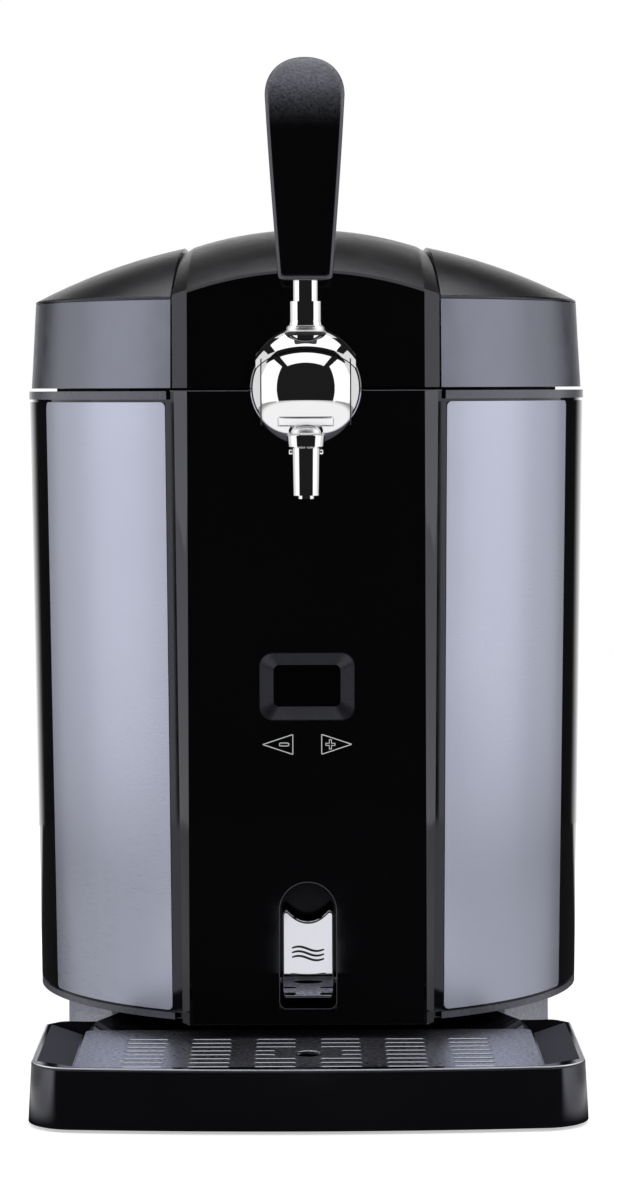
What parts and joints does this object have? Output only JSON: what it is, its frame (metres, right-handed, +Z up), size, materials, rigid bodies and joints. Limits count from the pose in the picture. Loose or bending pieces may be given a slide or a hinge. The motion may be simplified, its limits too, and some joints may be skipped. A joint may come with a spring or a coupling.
{
  "type": "mini keg beer dispenser",
  "caption": "Countertop cooler and tap for a small keg: drum body, hinged domed lid, ball tap with upright handle, display, drain lever and a slide-out slotted drip tray.",
  "frame": {"origin": "under the middle of the bounding box, on the surface the feet stand on", "axes": "+Z up, the tap and drip tray face -Y, +X to the right for someone who faces the tap"},
  "size_m": [0.2822, 0.4214, 0.4815],
  "materials": {
    "gloss_black": "gloss",
    "satin_black": "satin",
    "silver_paint": "satin",
    "satin_steel": "brushed",
    "dark_glass": "gloss",
    "chrome": "polished",
    "white_print": "satin",
    "black_rubber": "matte",
    "screw_steel": "satin",
    "well_aluminium": "satin",
    "foam": "matte",
    "circuit_board": "satin",
    "ceramic_plate": "matte",
    "grey_hose": "satin"
  },
  "bodies": {
    "cabinet": {"base_plinth": "satin_black", "rubber_feet": "black_rubber", "base_screws": "screw_steel", "body_shell": "gloss_black", "lower_trim": "satin_black", "upper_trim_band": "satin_black", "side_panel_left": "satin_steel", "side_panel_right": "satin_steel", "front_panel": "gloss_black", "display_bezel": "gloss_black", "display_window": "dark_glass", "display_board": "circuit_board", "key_symbols": "white_print", "drain_housing": "satin_black", "drain_pin": "screw_steel", "drain_valve": "white_print", "drain_hose": "grey_hose", "chamber_liner": "well_aluminium", "insulation_foam": "foam", "top_deck": "satin_black", "cold_block": "well_aluminium", "peltier_module": "ceramic_plate", "heat_sink": "well_aluminium", "fan_frame": "satin_black", "rear_housing": "satin_black", "rear_grille": "satin_black", "housing_screws": "screw_steel", "power_board": "circuit_board", "power_inlet": "satin_black", "hinge_bracket": "satin_black", "hinge_pin": "screw_steel", "tap_body": "chrome", "tap_cap_left": "chrome", "tap_cap_right": "chrome", "tap_axle": "screw_steel", "shank_flange": "chrome", "tap_shank": "screw_steel", "shank_nut": "screw_steel", "tap_spout": "chrome", "spout_nozzle": "chrome"},
    "lid": {"lid_shell": "satin_black", "lid_band": "silver_paint", "lid_spine": "satin_black", "lid_liner": "satin_black", "lid_foam": "foam", "lid_seal": "black_rubber", "hinge_leaf": "satin_black"},
    "tap_lever": {"tap_visor": "chrome", "tap_collar": "chrome", "tap_stem": "chrome", "tap_handle": "gloss_black"},
    "valve": {"valve_plunger": "screw_steel"},
    "drain_lever": {"drain_lever": "chrome", "drain_symbol": "satin_black"},
    "drain_plunger": {"drain_plunger": "white_print"},
    "tray": {"drip_tray": "gloss_black", "tray_feet": "black_rubber"},
    "grille": {"drip_grille": "satin_steel"},
    "rocker": {"rocker_switch": "satin_black"},
    "fan": {"fan_rotor": "satin_black"}
  },
  "joints": [
    {"name": "lid_hinge", "type": "hinge", "parent": "cabinet", "child": "lid", "pos_m": [0, 0.1742, 0.333], "axis": [-1, 0, 0], "range_deg": [0, 85]},
    {"name": "tap_lever_pivot", "type": "hinge", "parent": "cabinet", "child": "tap_lever", "pos_m": [0, -0.1596, 0.3305], "axis": [1, 0, 0], "range_deg": [0, 38]},
    {"name": "valve_slide", "type": "slide", "parent": "cabinet", "child": "valve", "axis": [0, -1, 0], "range_m": [0, 0.0035]},
    {"name": "drain_lever_pivot", "type": "hinge", "parent": "cabinet", "child": "drain_lever", "pos_m": [0, -0.10205, 0.05], "axis": [1, 0, 0], "range_deg": [0, 25]},
    {"name": "drain_plunger_slide", "type": "slide", "parent": "cabinet", "child": "drain_plunger", "axis": [0, -1, 0], "range_m": [0, 0.004]},
    {"name": "tray_slide", "type": "slide", "parent": "cabinet", "child": "tray", "axis": [0, -1, 0], "range_m": [0, 0.17]},
    {"name": "grille_lift", "type": "slide", "parent": "tray", "child": "grille", "axis": [0, 0, 1], "range_m": [0, 0.005]},
    {"name": "rocker_pivot", "type": "hinge", "parent": "cabinet", "child": "rocker", "pos_m": [0.032, 0.1992, 0.092], "axis": [-1, 0, 0], "range_deg": [0, 10]},
    {"name": "fan_spin", "type": "hinge", "parent": "cabinet", "child": "fan", "pos_m": [0, 0.1812, 0.185], "axis": [0, 1, 0], "continuous": true}
  ],
  "couplings": [
    {"joint": "valve_slide", "follows": "tap_lever_pivot", "m_per_rad": 0.005262},
    {"joint": "drain_plunger_slide", "follows": "drain_lever_pivot", "m_per_rad": 0.009}
  ]
}
